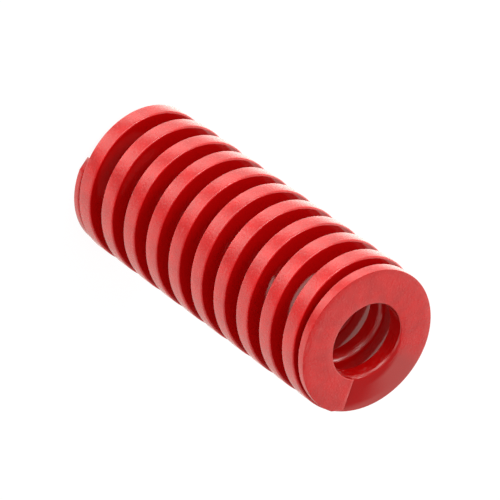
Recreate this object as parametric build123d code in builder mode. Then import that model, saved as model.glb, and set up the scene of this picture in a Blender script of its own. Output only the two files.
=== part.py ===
"""Die spring for a 25 mm pocket and a 12.5 mm guide rod, 60 mm free length.

One length of rectangular spring wire, coiled right-handed.  Both ends are closed:
the last turn flattens out and its tip comes down on to the turn before it.  Both are
also ground square to the axis, so the spring stands by itself.  The lower end is at
z = 0, +Z runs along the axis, and the lower tip of the wire lies on +X.
"""
from build123d import *
import math
import os

os.makedirs("parts", exist_ok=True)

# ---- overall sizes (mm) ----
outside_dia = 24.8        # works in a 25 mm pocket
bore_dia = 12.8           # works over a 12.5 mm rod
free_length = 60.0
total_turns = 11.286      # from tip to tip

# ---- wire section ----
wire_height = 2.9         # along the axis
outer_chamfer = 0.32      # breaks the two corners on the outside
inner_round = 1.7         # radial depth of the elliptic rounding on the bore side
round_facets = 5          # flats that the rounding is made of
bore_play = 0.03          # from the bore to the crest of the open coils

# ---- closed ends ----
end_pitch = 2.6           # rise of the closed turn, per turn
tip_thickness = 0.92      # of the wire left at each tip after grinding
top_knee = 0.865          # turns from the tip to where the open pitch begins
bottom_knee = 0.84
knee_blend = 0.16         # half the length of the bend from one pitch to the other, turns
end_shrink = 0.3          # the closed turn is coiled smaller in radius by this
shrink_start = 0.92       # turns from the tip where the wire begins to come in
shrink_full = 0.62        # turns from the tip where it is fully in
tip_tuck = 0.45           # further loss of radius at the tip itself
tuck_turns = 0.09         # length of wire that the tuck takes

# ---- quality ----
steps_per_turn = 16       # points of the centre line on each turn

outer_r = outside_dia / 2
bore_r = bore_dia / 2
knee_turns = top_knee + bottom_knee
open_rise = free_length + wire_height - 2 * tip_thickness - end_pitch * knee_turns
pitch = open_rise / (total_turns - knee_turns)


def face_distance(t, knee):
    """Distance of the wire's inward face from its end plane, t turns from that tip."""
    bend = (t - knee + knee_blend) / (2 * knee_blend)
    if bend <= 0:
        gain = 0.0
    elif bend < 1:
        gain = (pitch - end_pitch) * knee_blend * bend**2
    else:
        gain = (pitch - end_pitch) * (t - knee)
    return tip_thickness + end_pitch * t + gain


def middle_height(t):
    """Height of the middle of the wire, t turns from the bottom tip."""
    if t < total_turns / 2:
        return face_distance(t, bottom_knee) - wire_height / 2
    return free_length - face_distance(total_turns - t, top_knee) + wire_height / 2


def inset(t):
    """Loss of coil radius, t turns from the bottom tip."""
    from_tip = min(t, total_turns - t)
    closing = (shrink_start - from_tip) / (shrink_start - shrink_full)
    closing = min(max(closing, 0.0), 1.0)
    closing = closing**2 * (3 - 2 * closing)
    tuck = max(0.0, 1 - from_tip / tuck_turns) ** 2
    return end_shrink * closing + tip_tuck * tuck


def coil_point(t):
    """Point of the line that the middle of the wire's outer face follows."""
    angle = 2 * math.pi * t
    radius = outer_r - inset(t)
    return Vector(radius * math.cos(angle), radius * math.sin(angle), middle_height(t))


# ---- the line the wire follows, from the bottom tip to the top one ----
steps = math.ceil(steps_per_turn * total_turns)

with BuildLine() as coil_line:
    Spline(*[coil_point(total_turns * i / steps) for i in range(steps + 1)])

# ---- outline of the wire: x is radial from its outer face, y is along the axis ----
half_height = wire_height / 2
shoulder = bore_r + bore_play + inner_round - outer_r

outline = [
    (-outer_chamfer, half_height),
    (0, half_height - outer_chamfer),
    (0, outer_chamfer - half_height),
    (-outer_chamfer, -half_height),
]
for corner in range(round_facets + 1):
    turned = math.pi * corner / round_facets
    radial = shoulder - inner_round * math.sin(turned)
    outline.append((radial, -half_height * math.cos(turned)))

# ---- the spring ----
with BuildPart() as spring:
    tip_plane = Plane(origin=coil_point(0), x_dir=(1, 0, 0), z_dir=(0, 1, 0))
    with BuildSketch(tip_plane) as section:
        with BuildLine():
            Polyline(*outline, close=True)
        make_face()
    sweep(path=coil_line.line, is_frenet=True)

    # both ends ground square to the axis
    Cylinder(
        outside_dia,
        free_length,
        align=(Align.CENTER, Align.CENTER, Align.MIN),
        mode=Mode.INTERSECT,
    )

    # bore trued through the closed turns, which were coiled smaller
    Cylinder(
        bore_r,
        free_length,
        align=(Align.CENTER, Align.CENTER, Align.MIN),
        mode=Mode.SUBTRACT,
    )

spring.part.label = "spring"
export_step(spring.part, "parts/spring.step")
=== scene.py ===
"""Blender looks for the red die spring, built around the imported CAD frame."""

import math

import bmesh
import bpy
from mathutils import Matrix, Vector


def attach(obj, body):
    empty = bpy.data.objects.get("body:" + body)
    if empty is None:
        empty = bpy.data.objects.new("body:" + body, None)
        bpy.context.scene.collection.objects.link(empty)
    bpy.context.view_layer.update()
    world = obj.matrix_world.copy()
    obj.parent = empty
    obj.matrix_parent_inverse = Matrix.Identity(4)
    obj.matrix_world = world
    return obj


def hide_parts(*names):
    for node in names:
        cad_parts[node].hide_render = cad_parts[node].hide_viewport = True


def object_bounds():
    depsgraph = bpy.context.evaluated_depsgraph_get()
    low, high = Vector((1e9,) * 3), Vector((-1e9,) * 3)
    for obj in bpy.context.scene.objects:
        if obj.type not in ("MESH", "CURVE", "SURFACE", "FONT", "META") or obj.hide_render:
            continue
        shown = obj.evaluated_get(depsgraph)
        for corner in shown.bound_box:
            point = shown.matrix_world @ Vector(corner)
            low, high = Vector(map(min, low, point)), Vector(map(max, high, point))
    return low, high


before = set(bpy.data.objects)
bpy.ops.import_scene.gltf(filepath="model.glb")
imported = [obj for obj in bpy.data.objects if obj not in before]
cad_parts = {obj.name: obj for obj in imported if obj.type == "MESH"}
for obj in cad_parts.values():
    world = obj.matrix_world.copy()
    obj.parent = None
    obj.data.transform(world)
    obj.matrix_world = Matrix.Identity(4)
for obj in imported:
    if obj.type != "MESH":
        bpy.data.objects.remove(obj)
cad_low, cad_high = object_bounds()

MM = 0.001

# ---------------------------------------------------------------------------
# Sizes of the spring in millimetres. The coil is the CAD model's; the corners of the
# wire, the cut at its tips and the rounded edges are this script's own.
# ---------------------------------------------------------------------------
FREE_LENGTH = (cad_high[2] - cad_low[2]) / MM
OUTER_R = 12.4
BORE_R = 6.4
TURNS = 11.286

WIRE_HEIGHT = 2.9         # along the axis
OUTER_CORNER_R = 0.32     # rounding of the two corners on the outside
UPPER_CORNER_R = 0.8      # rounding of the bore side's upper corner
LOWER_CORNER_R = 0.2      # and of its lower one
BORE_PLAY = 0.03          # from the bore to the crest of the open coils

CLOSING_IN = 0.3          # the closed turn rises this much less than the wire is high
TIP_THICKNESS = 0.92      # of the wire left at each tip after grinding
TOP_KNEE = 0.865          # turns from the tip to where the open pitch begins
BOTTOM_KNEE = 0.84
KNEE_BLEND = 0.16         # half the length of the bend between the pitches, turns
END_SHRINK = 0.3          # the closed turn is coiled smaller in radius by this
SHRINK_START = 0.92       # turns from the tip where the wire begins to come in
SHRINK_FULL = 0.62        # turns from the tip where it is fully in
TIP_RELIEF = 0.5          # depth of the flat cut at each tip's outer corner
RELIEF_TURNS = 0.03       # and its length

GROUND_EDGE = 0.09        # the paint rounds the edges that grinding left
BORE_EDGE = 0.18          # and rather more so at the mouth of the bore
TIP_EDGE = 0.04           # and hardly at the wire's own end
CORNER_SHARE = 0.9        # of the outer corners counts as outside
RECESS_SHADE_DEPTH = 0.15      # below the end plane, over which the painted shade of the recesses comes in fully
BORE_DEPTH = 2.6          # how far into the turns the bore's side of the wire reaches
RINGS_PER_TURN = 96
SHARP_ANGLE = 30          # degrees between faces from which an edge is drawn sharp
CORNER_STEPS = 6          # divisions of each rounded corner of the wire
FLAT_STEPS = 4            # of each flat between them
EDGE_STEPS = 5            # and of each ground edge

HALF = WIRE_HEIGHT / 2
END_PITCH = WIRE_HEIGHT - CLOSING_IN
KNEE_TURNS = TOP_KNEE + BOTTOM_KNEE
OPEN_RISE = FREE_LENGTH + WIRE_HEIGHT - 2 * TIP_THICKNESS - END_PITCH * KNEE_TURNS
PITCH = OPEN_RISE / (TURNS - KNEE_TURNS)


# ---------------------------------------------------------------------------
# The line of the coil
# ---------------------------------------------------------------------------
def face_distance(t, knee):
    """Distance of the wire's inward face from its end plane, t turns from that tip."""
    bend = (t - knee + KNEE_BLEND) / (2 * KNEE_BLEND)
    if bend <= 0:
        gain = 0.0
    elif bend < 1:
        gain = (PITCH - END_PITCH) * KNEE_BLEND * bend**2
    else:
        gain = (PITCH - END_PITCH) * (t - knee)
    return TIP_THICKNESS + END_PITCH * t + gain


def middle_height(t):
    """Height of the middle of the wire, t turns from the bottom tip."""
    if t < TURNS / 2:
        return face_distance(t, BOTTOM_KNEE) - HALF
    return FREE_LENGTH - face_distance(TURNS - t, TOP_KNEE) + HALF


def inset(t):
    """Loss of coil radius, t turns from the bottom tip."""
    from_tip = min(t, TURNS - t)
    closing = (SHRINK_START - from_tip) / (SHRINK_START - SHRINK_FULL)
    closing = min(max(closing, 0.0), 1.0)
    return END_SHRINK * closing**2 * (3 - 2 * closing)


def relief_radius(t):
    """Radius of the flat cut that takes the outer corner off each tip."""
    ring_r = OUTER_R - END_SHRINK
    span = 2 * math.pi * RELIEF_TURNS
    angle = 2 * math.pi * min(t, TURNS - t)
    if angle >= span:
        return OUTER_R
    across = ring_r * math.sin(span)
    back = ring_r - TIP_RELIEF - ring_r * math.cos(span)
    facing = across * math.cos(angle) + back * math.sin(angle)
    return across * (ring_r - TIP_RELIEF) / facing


# ---------------------------------------------------------------------------
# The section of the wire, cut by the ground ends and by the bore
# ---------------------------------------------------------------------------
def worn(gap, radius):
    """How far a rounding of that radius draws a face back, gap away from the edge."""
    if radius <= 0 or gap >= radius:
        return 0.0
    return radius - math.sqrt(max(radius**2 - (radius - gap) ** 2, 0.0))


def corner_heights(lower, upper):
    """Heights of the vertices on the two corners of one side, from their radii."""
    steps = [1 - math.sin(math.pi / 2 * k / CORNER_STEPS) for k in range(CORNER_STEPS + 1)]
    return [lower * step - HALF for step in steps] + [HALF - upper * step for step in steps]


def stations(low, high, fixed, low_edge, high_edge):
    """Heights at which a side of the section gets a vertex, always the same number."""
    found = [min(max(y, low), high) for y in fixed]
    for step in range(EDGE_STEPS):
        near = 1 - math.sin(math.pi / 2 * step / EDGE_STEPS)
        found.append(min(low + low_edge * near, high))
        found.append(max(high - high_edge * near, low))
    return sorted(found)


def section(low, high, bore_x, relief_x):
    """Outline of the wire between two heights, as (radial, height) pairs."""
    high_edge, bore_high_edge = (min(size, HALF - high) for size in (GROUND_EDGE, BORE_EDGE))
    low_edge, bore_low_edge = (min(size, low + HALF) for size in (GROUND_EDGE, BORE_EDGE))

    outer_corners = corner_heights(OUTER_CORNER_R, OUTER_CORNER_R)
    bore_corners = corner_heights(LOWER_CORNER_R, UPPER_CORNER_R)
    outside = stations(low, high, outer_corners, low_edge, high_edge)
    inside = stations(low, high, bore_corners, bore_low_edge, bore_high_edge)

    points = []
    for y in outside:
        corner = -worn(HALF - abs(y), OUTER_CORNER_R)
        edge = worn(high - y, high_edge) + worn(y - low, low_edge)
        points.append((min(corner, relief_x) - edge, y))
    inner = []
    for y in reversed(inside):
        radius = UPPER_CORNER_R if y > 0 else LOWER_CORNER_R
        corner = BORE_R + BORE_PLAY - OUTER_R + worn(HALF - abs(y), radius)
        edge = worn(high - y, bore_high_edge) + worn(y - low, bore_low_edge)
        inner.append((max(corner, bore_x) + edge, y))
    upper, lower = points[-1][0], points[0][0]
    for k in range(1, FLAT_STEPS):
        points.append((upper + (inner[0][0] - upper) * k / FLAT_STEPS, high))
    points += inner
    for k in range(1, FLAT_STEPS):
        points.append((inner[-1][0] + (lower - inner[-1][0]) * k / FLAT_STEPS, low))
    return points


# ---------------------------------------------------------------------------
# The mesh
# ---------------------------------------------------------------------------
def recess_shade_and_gloss(x, height):
    """0 outside, 1 between the turns and in the bore, where the colour gets painted shade and
    the paint is glossier.
    """
    if x > -CORNER_SHARE * OUTER_CORNER_R:
        return 0.0
    return min(max(min(height, FREE_LENGTH - height) / RECESS_SHADE_DEPTH, 0.0), 1.0)


def bore_side(radius):
    """1 at the wall of the bore, falling to 0 BORE_DEPTH from it."""
    return min(max((BORE_R + BORE_DEPTH - radius) / BORE_DEPTH, 0.0), 1.0)


def ring(t, shrink=0.0):
    """Outline of the wire t turns from the bottom tip.

    Each vertex is a point, its place across the wire, its share of painted recess shade and its
    bore side.
    """
    radius = OUTER_R - inset(t)
    middle = middle_height(t)
    low = max(-HALF, -middle)
    high = min(HALF, FREE_LENGTH - middle)
    outline = section(low, high, BORE_R - radius, relief_radius(t) - radius)
    centre_x = sum(x for x, y in outline) / len(outline)
    centre_y = (low + high) / 2
    angle = 2 * math.pi * t
    points = []
    for x, y in outline:
        if shrink:
            reach = math.hypot(x - centre_x, y - centre_y)
            x -= shrink * (x - centre_x) / max(reach, shrink)
            y -= shrink * (y - centre_y) / max(reach, shrink)
        r = (radius + x) * MM
        point = Vector((r * math.cos(angle), r * math.sin(angle), (middle + y) * MM))
        points.append((point, x + y, recess_shade_and_gloss(x, middle + y), bore_side(radius + x)))
    return points


def build_spring():
    """The whole wire as one closed mesh, with lengths along and across it as its UV map."""
    count = math.ceil(RINGS_PER_TURN * TURNS)
    soft = TIP_EDGE / (2 * math.pi * OUTER_R)
    turns = [soft + (TURNS - 2 * soft) * i / count for i in range(count + 1)]
    turns = sorted(turns + [RELIEF_TURNS, TURNS - RELIEF_TURNS])
    places = [(0.0, TIP_EDGE), (soft * 0.3, TIP_EDGE * 0.3)]
    places += [(t, 0.0) for t in turns]
    places += [(TURNS - soft * 0.3, TIP_EDGE * 0.3), (TURNS, TIP_EDGE)]

    mesh = bmesh.new()
    uv = mesh.loops.layers.uv.new("wire")
    recess_shade_layer = mesh.verts.layers.float.new("recess_shade_and_gloss")
    drawn = mesh.verts.layers.float.new("drawn")
    rings = []
    for t, shrink in places:
        along = t * 2 * math.pi * OUTER_R
        vertices = []
        for point, across, share, bore_share in ring(t, shrink):
            vertex = mesh.verts.new(point)
            # how much painted shade (and gloss) the recesses give this vertex
            vertex[recess_shade_layer] = share
            vertex[drawn] = bore_share * share
            vertices.append((vertex, (along, across)))
        rings.append(vertices)
    size = len(rings[0])
    for first, second in zip(rings, rings[1:]):
        for k in range(size):
            after = (k + 1) % size
            corners = (first[k], second[k], second[after], first[after])
            face = mesh.faces.new([vertex for vertex, place in corners])
            for loop, (vertex, place) in zip(face.loops, corners):
                loop[uv].uv = place
    mesh.faces.new([vertex for vertex, place in rings[0]])
    mesh.faces.new([vertex for vertex, place in reversed(rings[-1])])
    bmesh.ops.remove_doubles(mesh, verts=mesh.verts, dist=2e-6)
    bmesh.ops.dissolve_degenerate(mesh, edges=mesh.edges, dist=1e-6)
    bmesh.ops.recalc_face_normals(mesh, faces=mesh.faces)
    data = bpy.data.meshes.new("spring_wire")
    mesh.to_mesh(data)
    mesh.free()
    data.polygons.foreach_set("use_smooth", [True] * len(data.polygons))
    spring = bpy.data.objects.new("spring_wire", data)
    bpy.context.collection.objects.link(spring)
    data.set_sharp_from_angle(angle=math.radians(SHARP_ANGLE))
    return spring


# ---------------------------------------------------------------------------
# Materials
# ---------------------------------------------------------------------------
def new_material(name):
    material = bpy.data.materials.new(name)
    material.use_nodes = True
    nodes = material.node_tree.nodes
    nodes.clear()
    return material, nodes, material.node_tree.links


def noise(nodes, links, place, scale, detail, stretch=(1, 1, 1)):
    """Noise, drawn out along one direction if wanted."""
    spread = nodes.new("ShaderNodeMapping")
    spread.inputs["Scale"].default_value = stretch
    links.new(place, spread.inputs["Vector"])
    cloud = nodes.new("ShaderNodeTexNoise")
    cloud.inputs["Scale"].default_value = scale
    cloud.inputs["Detail"].default_value = detail
    links.new(spread.outputs["Vector"], cloud.inputs["Vector"])
    return cloud.outputs["Fac"]


def between(nodes, links, value, low, high, off=0.0, on=1.0):
    """Turns a stretch of the value, low to high, into off to on."""
    span = nodes.new("ShaderNodeMapRange")
    for name, number in (("From Min", low), ("From Max", high), ("To Min", off), ("To Max", on)):
        span.inputs[name].default_value = number
    links.new(value, span.inputs["Value"])
    return span.outputs["Result"]


def blend(nodes, links, share, first, second):
    """Colour between two, each a plain colour or a socket."""
    mix = nodes.new("ShaderNodeMix")
    mix.data_type = "RGBA"
    links.new(share, mix.inputs["Factor"])
    for name, colour in (("A", first), ("B", second)):
        if isinstance(colour, tuple):
            mix.inputs[name].default_value = colour
        else:
            links.new(colour, mix.inputs[name])
    return mix.outputs["Result"]


def mesh_value(nodes, name):
    """A value that the mesh carries at its vertices."""
    reader = nodes.new("ShaderNodeAttribute")
    reader.attribute_name = name
    return reader.outputs["Fac"]


RED = (0.65, 0.003, 0.004, 1)
DEEP_RED = (0.54, 0.002, 0.003, 1)
# Painted shade: a darker red for between the turns, the bore and just below the ground ends
PAINTED_RECESS_SHADE_RED = (0.44, 0.002, 0.002, 1)
PALE_SCUFF = (0.75, 0.12, 0.11, 1)

# Noise sizes are divisions per millimetre of wire; a stretch under 1 draws it out
CLOUD_SCALE = 0.35
SCUFF_SCALE, SCUFF_STRETCH, SCUFF_STRENGTH = 1.6, (0.35, 1, 1), 0.3
GRAIN_SCALE, GRAIN_STRENGTH, GRAIN_HEIGHT = 2.4, 0.9, 0.05
LINE_SCALE, LINE_STRETCH, LINE_HEIGHT = 4.0, (0.04, 1, 1), 0.05
OUTSIDE_ROUGHNESS = (0.13, 0.3)
SHELTERED_ROUGHNESS = 0.08
COAT_IOR = 1.5


def red_paint():
    """Satin red coating: grainy and rubbed outside; glossy between the turns and in the bore,
    with painted shade darkening it there.
    """
    material, nodes, links = new_material("red_paint")
    out = nodes.new("ShaderNodeOutputMaterial")
    paint = nodes.new("ShaderNodeBsdfPrincipled")
    links.new(paint.outputs["BSDF"], out.inputs["Surface"])
    paint.inputs["IOR"].default_value = COAT_IOR
    place = nodes.new("ShaderNodeTexCoord").outputs["UV"]
    # recess mask: painted shade in the colour, glossier paint and no grain
    inside = mesh_value(nodes, "recess_shade_and_gloss")
    in_bore = mesh_value(nodes, "drawn")

    clouds = noise(nodes, links, place, CLOUD_SCALE, 3)
    shade = blend(nodes, links, between(nodes, links, clouds, 0.35, 0.65), DEEP_RED, RED)
    rubbed = noise(nodes, links, place, SCUFF_SCALE, 6, SCUFF_STRETCH)
    scuffs = between(nodes, links, rubbed, 0.6, 0.74, 0.0, SCUFF_STRENGTH)
    worn_shade = blend(nodes, links, scuffs, shade, PALE_SCUFF)
    # painted shade: the recesses are coloured the darker red
    colour = blend(nodes, links, inside, worn_shade, PAINTED_RECESS_SHADE_RED)
    links.new(colour, paint.inputs["Base Color"])

    speckle = noise(nodes, links, place, GRAIN_SCALE, 5)
    outside_gloss = between(nodes, links, speckle, 0.35, 0.65, *OUTSIDE_ROUGHNESS)
    gloss = nodes.new("ShaderNodeMix")
    links.new(inside, gloss.inputs["Factor"])
    links.new(outside_gloss, gloss.inputs["A"])
    gloss.inputs["B"].default_value = SHELTERED_ROUGHNESS
    links.new(gloss.outputs["Result"], paint.inputs["Roughness"])

    grain = nodes.new("ShaderNodeBump")
    grain.inputs["Distance"].default_value = GRAIN_HEIGHT * MM
    rough_share = between(nodes, links, inside, 0, 1, GRAIN_STRENGTH, 0.0)
    links.new(rough_share, grain.inputs["Strength"])
    links.new(speckle, grain.inputs["Height"])
    drawn = nodes.new("ShaderNodeBump")
    drawn.inputs["Distance"].default_value = LINE_HEIGHT * MM
    links.new(between(nodes, links, in_bore, 0.6, 0.85), drawn.inputs["Strength"])
    links.new(noise(nodes, links, place, LINE_SCALE, 2, LINE_STRETCH), drawn.inputs["Height"])
    links.new(grain.outputs["Normal"], drawn.inputs["Normal"])
    links.new(drawn.outputs["Normal"], paint.inputs["Normal"])
    return material


# ---------------------------------------------------------------------------
# Put the object together
# ---------------------------------------------------------------------------
spring = build_spring()
spring.data.materials.append(red_paint())
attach(spring, "root")
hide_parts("spring")

# ---------------------------------------------------------------------------
# Camera, floor and light
# ---------------------------------------------------------------------------
VIEW_AZIMUTH = -11.0      # where the camera stands, from +X towards +Y
VIEW_ELEVATION = 43.46    # and how high it looks from
VIEW_ROLL = 125.9         # the photograph was turned, so the spring's top points right and down
VIEW_DISTANCE = 1.578     # metres
LENS = 739.2              # focal length in mm
AIM = Vector((0.0, -0.852, 28.965)) * MM     # with +X towards the camera's side


def direction(azimuth, elevation):
    """Unit vector from the spring, azimuth counted from the camera's side."""
    turn = math.radians(VIEW_AZIMUTH + azimuth)
    rise = math.radians(elevation)
    flat = Vector((math.cos(turn), math.sin(turn), 0)) * math.cos(rise)
    return flat + Vector((0, 0, math.sin(rise)))


camera_data = bpy.data.cameras.new("camera")
camera_data.lens = LENS
camera_data.sensor_width = 36.0
camera_data.clip_end = 20.0
camera = bpy.data.objects.new("camera", camera_data)
bpy.context.collection.objects.link(camera)
away = direction(0, VIEW_ELEVATION)
aim = Matrix.Rotation(math.radians(VIEW_AZIMUTH), 3, "Z") @ AIM
level = (-away).to_track_quat("-Z", "Y").to_matrix()
roll = Matrix.Rotation(math.radians(VIEW_ROLL), 3, "Z")
camera.matrix_world = Matrix.Translation(aim + away * VIEW_DISTANCE) @ (level @ roll).to_4x4()
bpy.context.scene.camera = camera


def white_floor():
    """White table: it throws light up at the spring and looks white, with a faint shadow."""
    material, nodes, links = new_material("white_floor")
    out = nodes.new("ShaderNodeOutputMaterial")
    seen = nodes.new("ShaderNodeLightPath").outputs["Is Camera Ray"]
    matte = nodes.new("ShaderNodeBsdfDiffuse")
    links.new(between(nodes, links, seen, 0, 1, 0.9, 0.12), matte.inputs["Color"])
    glow = nodes.new("ShaderNodeEmission")
    links.new(between(nodes, links, seen, 0, 1, FLOOR_GLOW, 0.93), glow.inputs["Strength"])
    both = nodes.new("ShaderNodeAddShader")
    links.new(matte.outputs[0], both.inputs[0])
    links.new(glow.outputs[0], both.inputs[1])
    links.new(both.outputs[0], out.inputs["Surface"])
    return material


def add_floor():
    bpy.ops.mesh.primitive_plane_add(size=4.0, location=(0, 0, cad_low[2]))
    floor = bpy.context.object
    floor.name = "floor"
    floor.visible_glossy = False
    floor.data.materials.append(white_floor())


def add_studio():
    """Soft walls all round: dim for what they light, bright where the paint mirrors them."""
    world = bpy.data.worlds.new("studio")
    bpy.context.scene.world = world
    world.use_nodes = True
    nodes, links = world.node_tree.nodes, world.node_tree.links
    walls = nodes["Background"]
    rays = nodes.new("ShaderNodeLightPath")

    place = nodes.new("ShaderNodeTexCoord")
    turned = nodes.new("ShaderNodeMapping")
    turned.inputs["Rotation"].default_value = (0, 0, -math.radians(VIEW_AZIMUTH))
    links.new(place.outputs["Generated"], turned.inputs["Vector"])
    around = nodes.new("ShaderNodeTexGradient")
    around.gradient_type = "RADIAL"
    links.new(turned.outputs["Vector"], around.inputs["Vector"])
    mirrored = nodes.new("ShaderNodeValToRGB")
    mirrored.color_ramp.interpolation = "EASE"
    stops = mirrored.color_ramp.elements
    while len(stops) < len(WALL_LIGHT):
        stops.new(0.5)
    for stop, (azimuth, level) in zip(stops, WALL_LIGHT):
        stop.position = azimuth / 360 + 0.5
        stop.color = (level, level, WARMTH * level, 1)
    links.new(around.outputs["Fac"], mirrored.inputs["Fac"])

    height = nodes.new("ShaderNodeSeparateXYZ")
    links.new(place.outputs["Generated"], height.inputs["Vector"])
    ceiling = between(nodes, links, height.outputs["Z"], 0.70, 0.75)
    lit = blend(nodes, links, ceiling, mirrored.outputs["Color"], CEILING_LIGHT)
    sky = (SKY, SKY, SKY, 1)
    soft = blend(nodes, links, rays.outputs["Is Glossy Ray"], sky, lit)
    seen = blend(nodes, links, rays.outputs["Is Camera Ray"], soft, (1, 1, 1, 1))
    links.new(seen, walls.inputs["Color"])


def softbox(name, azimuth, elevation, distance, width, height, power):
    """An area lamp that looks at the middle of the spring."""
    data = bpy.data.lights.new(name, "AREA")
    data.shape = "RECTANGLE"
    data.size = width
    data.size_y = height
    data.energy = power
    lamp = bpy.data.objects.new(name, data)
    bpy.context.collection.objects.link(lamp)
    middle = Vector((0, 0, FREE_LENGTH / 2 * MM))
    toward = direction(azimuth, elevation)
    lamp.location = middle + toward * distance
    lamp.rotation_euler = (-toward).to_track_quat("-Z", "Y").to_euler()
    lamp.visible_camera = False


WARMTH = 0.93             # blue of what the paint mirrors, as a share of the red
SKY = 0.67                # light from all round on matt surfaces, 1 is white
FLOOR_GLOW = 0.25         # what the floor adds to that from below
# How bright the studio mirrors in the paint: azimuth from the camera's side, level
WALL_LIGHT = (
    (-180, 1.5), (-160, 2.35), (-142, 2.9), (-112, 1.5), (-96, 1.75), (-68, 3.4), (-44, 1.0),
    (-14, 3.9), (20, 0.6), (48, 1.95), (85, 1.8), (120, 1.35), (144, 0.85), (180, 1.5),
)
CEILING_LIGHT = (0.3, 0.3, 0.3, 1)

add_floor()
add_studio()
softbox("key_softbox", -70, 36, 0.8, 0.36, 0.12, 2.1)
softbox("fill_softbox", -30, 15, 0.8, 0.6, 0.6, 2.3)

view = bpy.context.scene.view_settings
view.view_transform = "Standard"
